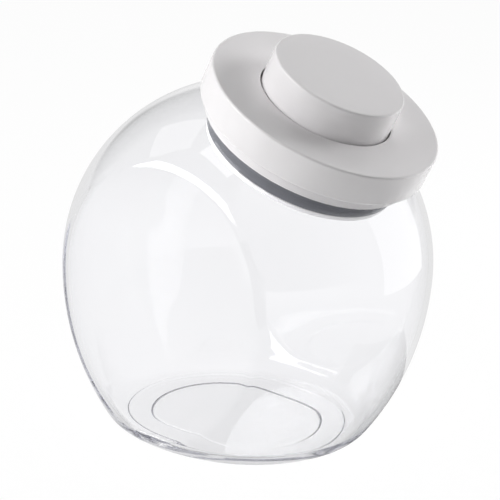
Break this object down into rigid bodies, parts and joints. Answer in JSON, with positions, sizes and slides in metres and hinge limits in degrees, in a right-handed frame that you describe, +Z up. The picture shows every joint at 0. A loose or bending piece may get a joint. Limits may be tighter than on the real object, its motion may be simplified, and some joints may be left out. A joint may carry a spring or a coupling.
{
  "type": "storage jar",
  "caption": "Clear flat-sided food jar with a slanted round mouth and a white lid whose push button squeezes a soft ring seal against the mouth.",
  "frame": {"origin": "on the floor under the middle of the jar", "axes": "+Z up, -Y to the side the mouth leans to, flat sides at +X and -X"},
  "size_m": [0.1426, 0.1902, 0.2084],
  "materials": {
    "clear_plastic": "clear, polished",
    "white_plastic": "satin gloss",
    "inner_plastic": "as moulded",
    "seal": "matt",
    "steel": "drawn wire"
  },
  "bodies": {
    "jar": {"jar_body": "clear_plastic"},
    "lid": {"lid_cover": "white_plastic", "lid_frame": "white_plastic", "lid_base": "white_plastic", "seal_ring": "seal", "return_spring": "steel", "lever_pin_1": "steel", "lever_pin_2": "steel", "lever_pin_3": "steel", "lever_pin_4": "steel"},
    "button": {"push_button": "white_plastic", "button_carrier": "inner_plastic"},
    "press_ring": {"press_ring": "inner_plastic"},
    "lever_1": {"lever_1": "inner_plastic"},
    "lever_2": {"lever_2": "inner_plastic"},
    "lever_3": {"lever_3": "inner_plastic"},
    "lever_4": {"lever_4": "inner_plastic"},
    "latch": {"latch_wire": "steel"}
  },
  "joints": [
    {"name": "lid_lift", "type": "slide", "parent": "jar", "child": "lid", "axis": [0, -0.4099, 0.9121], "range_m": [0, 0.06]},
    {"name": "button_press", "type": "slide", "parent": "lid", "child": "button", "axis": [0, 0.4099, -0.9121], "range_m": [0, 0.0166], "stiffness_N_per_m": 500, "springref_m": -0.012, "deforming": ["return_spring"]},
    {"name": "press_ring_slide", "type": "slide", "parent": "lid", "child": "press_ring", "axis": [0, 0.4099, -0.9121], "range_m": [0, 0.0032], "deforming": ["seal_ring"]},
    {"name": "lever_1_swing", "type": "hinge", "parent": "lid", "child": "lever_1", "pos_m": [0.0362, -0.00224, 0.18069], "axis": [0.7071, -0.645, -0.2899], "range_deg": [0, 47.62]},
    {"name": "lever_2_swing", "type": "hinge", "parent": "lid", "child": "lever_2", "pos_m": [-0.0362, -0.00224, 0.18069], "axis": [0.7071, 0.645, 0.2899], "range_deg": [0, 47.62]},
    {"name": "lever_3_swing", "type": "hinge", "parent": "lid", "child": "lever_3", "pos_m": [-0.0362, -0.06828, 0.15101], "axis": [-0.7071, 0.645, 0.2899], "range_deg": [0, 47.62]},
    {"name": "lever_4_swing", "type": "hinge", "parent": "lid", "child": "lever_4", "pos_m": [0.0362, -0.06828, 0.15101], "axis": [-0.7071, -0.645, -0.2899], "range_deg": [0, 47.62]},
    {"name": "latch_wire_swing", "type": "hinge", "parent": "lid", "child": "latch", "pos_m": [0.0105, -0.02903, 0.15199], "axis": [-1, 0, 0], "range_deg": [0, 9.2]}
  ],
  "couplings": [
    {"joint": "press_ring_slide", "follows": "button_press", "ratio": 0.18409},
    {"joint": "lever_1_swing", "follows": "button_press", "rad_per_m": 49.855},
    {"joint": "lever_2_swing", "follows": "button_press", "rad_per_m": 49.855},
    {"joint": "lever_3_swing", "follows": "button_press", "rad_per_m": 49.855},
    {"joint": "lever_4_swing", "follows": "button_press", "rad_per_m": 49.855},
    {"joint": "latch_wire_swing", "follows": "button_press", "rad_per_m": 9.4626}
  ]
}
